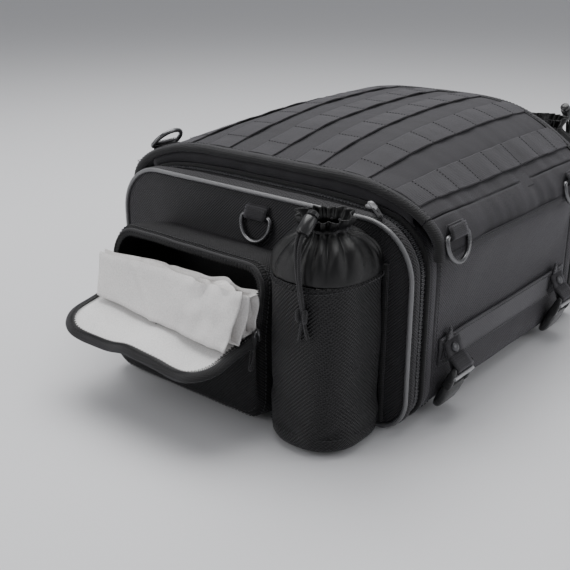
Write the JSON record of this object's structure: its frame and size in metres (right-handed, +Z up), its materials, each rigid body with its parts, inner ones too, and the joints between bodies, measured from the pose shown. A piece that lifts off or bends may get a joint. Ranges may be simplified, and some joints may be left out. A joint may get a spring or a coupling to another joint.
{
  "type": "tail bag",
  "caption": "Soft motorcycle seat bag with a domed hinged lid, expanding ends, flap pockets, bottle pockets, webbing and side-release buckles.",
  "frame": {"origin": "on the floor under the middle of the tub, at the centre of its flat bottom", "axes": "+X along the bag's length towards its closed end pocket, -Y towards the lid's hinge side, +Z up"},
  "size_m": [0.5562, 0.3853, 0.2317],
  "materials": {
    "nylon": "woven nylon, coated inside",
    "ballistic": "ballistic twill nylon",
    "webbing": "ribbed webbing",
    "binding": "bound edge tape",
    "board": "stiffener board",
    "plastic": "moulded acetal",
    "metal": "dark satin plate",
    "cloth": "light coated taffeta",
    "cord": "braided cord"
  },
  "bodies": {
    "tub": {"tub_shell": "nylon", "bottom_board": "board", "hinge_skirt": "nylon", "near_zip_ring": "binding", "far_zip_ring": "binding", "hinge_side_band": "webbing", "near_hinge_side_strap_loop": "webbing", "far_hinge_side_strap_loop": "webbing", "opening_side_band": "webbing", "near_opening_side_strap_loop": "webbing", "far_opening_side_strap_loop": "webbing", "near_hinge_tab": "webbing", "near_closure_socket": "plastic", "far_hinge_tab": "webbing", "far_closure_socket": "plastic"},
    "near_hinge_side_buckle": {"near_hinge_side_buckle": "plastic"},
    "far_hinge_side_buckle": {"far_hinge_side_buckle": "plastic"},
    "near_opening_side_buckle": {"near_opening_side_buckle": "plastic"},
    "far_opening_side_buckle": {"far_opening_side_buckle": "plastic"},
    "near_hinge_ring": {"near_hinge_ring": "metal"},
    "far_hinge_ring": {"far_hinge_ring": "metal"},
    "lid": {"lid_shell": "nylon", "near_lid_binding": "binding", "near_lid_tab": "webbing", "near_closure_plug": "plastic", "far_lid_binding": "binding", "far_lid_tab": "webbing", "far_closure_plug": "plastic", "molle_strip_1": "webbing", "molle_strip_2": "webbing", "molle_strip_3": "webbing", "molle_strip_4": "webbing", "molle_strip_5": "webbing", "molle_strip_6": "webbing"},
    "near_lid_ring": {"near_lid_ring": "metal"},
    "far_lid_ring": {"far_lid_ring": "metal"},
    "near_end": {"near_end_panel": "nylon", "near_gusset": "nylon", "near_pocket": "ballistic", "near_bottle_sleeve": "ballistic", "near_bottle_collar": "nylon", "near_drawcord": "cord", "near_face_tab": "webbing"},
    "near_flap": {"near_flap": "ballistic"},
    "near_face_ring": {"near_face_ring": "metal"},
    "near_cord_lock": {"near_cord_lock": "plastic"},
    "far_end": {"far_end_panel": "nylon", "far_gusset": "nylon", "far_pocket": "ballistic", "far_bottle_sleeve": "ballistic", "far_bottle_collar": "nylon", "far_drawcord": "cord", "far_face_tab": "webbing"},
    "far_flap": {"far_flap": "ballistic"},
    "far_face_ring": {"far_face_ring": "metal"},
    "far_cord_lock": {"far_cord_lock": "plastic"},
    "rain_cover": {"rain_cover": "cloth"},
    "near_pocket_slider": {"near_pocket_slider": "metal"},
    "near_zip_slider": {"near_zip_slider": "metal"}
  },
  "joints": [
    {"name": "lid_open", "type": "hinge", "parent": "tub", "child": "lid", "pos_m": [0, -0.16393, 0.17956], "axis": [1, 0, 0], "range_deg": [0, 105]},
    {"name": "near_expand", "type": "slide", "parent": "tub", "child": "near_end", "axis": [-1, 0, 0], "range_m": [0, 0.04]},
    {"name": "near_hinge_ring_swing", "type": "hinge", "parent": "tub", "child": "near_hinge_ring", "pos_m": [-0.123, -0.17906, 0.16727], "axis": [1, 0, 0], "range_deg": [-75, 0]},
    {"name": "near_lid_ring_swing", "type": "hinge", "parent": "lid", "child": "near_lid_ring", "pos_m": [-0.123, 0.15783, 0.19154], "axis": [1, 0, 0], "range_deg": [-150, 0]},
    {"name": "near_face_ring_swing", "type": "hinge", "parent": "near_end", "child": "near_face_ring", "pos_m": [-0.1718, -0.0095, 0.16], "axis": [0, 1, 0], "range_deg": [0, 75]},
    {"name": "near_flap_fold", "type": "hinge", "parent": "near_end", "child": "near_flap", "pos_m": [-0.237, 0, 0.083], "axis": [0, 1, 0], "range_deg": [-50, 101]},
    {"name": "near_hinge_side_buckle_swing", "type": "hinge", "parent": "tub", "child": "near_hinge_side_buckle", "pos_m": [-0.108, -0.1845, 0.047], "axis": [1, 0, 0], "range_deg": [-95, 0]},
    {"name": "near_opening_side_buckle_swing", "type": "hinge", "parent": "tub", "child": "near_opening_side_buckle", "pos_m": [-0.108, 0.1845, 0.047], "axis": [1, 0, 0], "range_deg": [0, 95]},
    {"name": "far_expand", "type": "slide", "parent": "tub", "child": "far_end", "axis": [1, 0, 0], "range_m": [0, 0.04]},
    {"name": "far_hinge_ring_swing", "type": "hinge", "parent": "tub", "child": "far_hinge_ring", "pos_m": [0.095, -0.17906, 0.16727], "axis": [1, 0, 0], "range_deg": [-75, 0]},
    {"name": "far_lid_ring_swing", "type": "hinge", "parent": "lid", "child": "far_lid_ring", "pos_m": [0.095, 0.15841, 0.19205], "axis": [1, 0, 0], "range_deg": [0, 150]},
    {"name": "far_face_ring_swing", "type": "hinge", "parent": "far_end", "child": "far_face_ring", "pos_m": [0.1718, -0.0095, 0.16], "axis": [0, 1, 0], "range_deg": [-75, 0]},
    {"name": "far_flap_fold", "type": "hinge", "parent": "far_end", "child": "far_flap", "pos_m": [0.237, 0, 0.083], "axis": [0, 1, 0], "range_deg": [0, 140]},
    {"name": "far_hinge_side_buckle_swing", "type": "hinge", "parent": "tub", "child": "far_hinge_side_buckle", "pos_m": [0.099, -0.1845, 0.047], "axis": [1, 0, 0], "range_deg": [-95, 0]},
    {"name": "far_opening_side_buckle_swing", "type": "hinge", "parent": "tub", "child": "far_opening_side_buckle", "pos_m": [0.099, 0.1845, 0.047], "axis": [1, 0, 0], "range_deg": [0, 95]},
    {"name": "near_cord_lock_slide", "type": "slide", "parent": "near_end", "child": "near_cord_lock", "axis": [0.741, 0.003, 0.6715], "range_m": [0, 0.004]},
    {"name": "far_cord_lock_slide", "type": "slide", "parent": "far_end", "child": "far_cord_lock", "axis": [-0.7246, 0.003, 0.6891], "range_m": [0, 0.004]},
    {"name": "rain_cover_out", "type": "slide", "parent": "near_end", "child": "rain_cover", "axis": [1, 0, 0], "range_m": [-0.1, 0]},
    {"name": "near_pocket_slider_run", "type": "slide", "parent": "near_end", "child": "near_pocket_slider", "axis": [0, 0, 1], "range_m": [0, 0.03]},
    {"name": "near_zip_slider_run", "type": "slide", "parent": "near_end", "child": "near_zip_slider", "axis": [0, 1, 0], "range_m": [0, 0.1]}
  ]
}
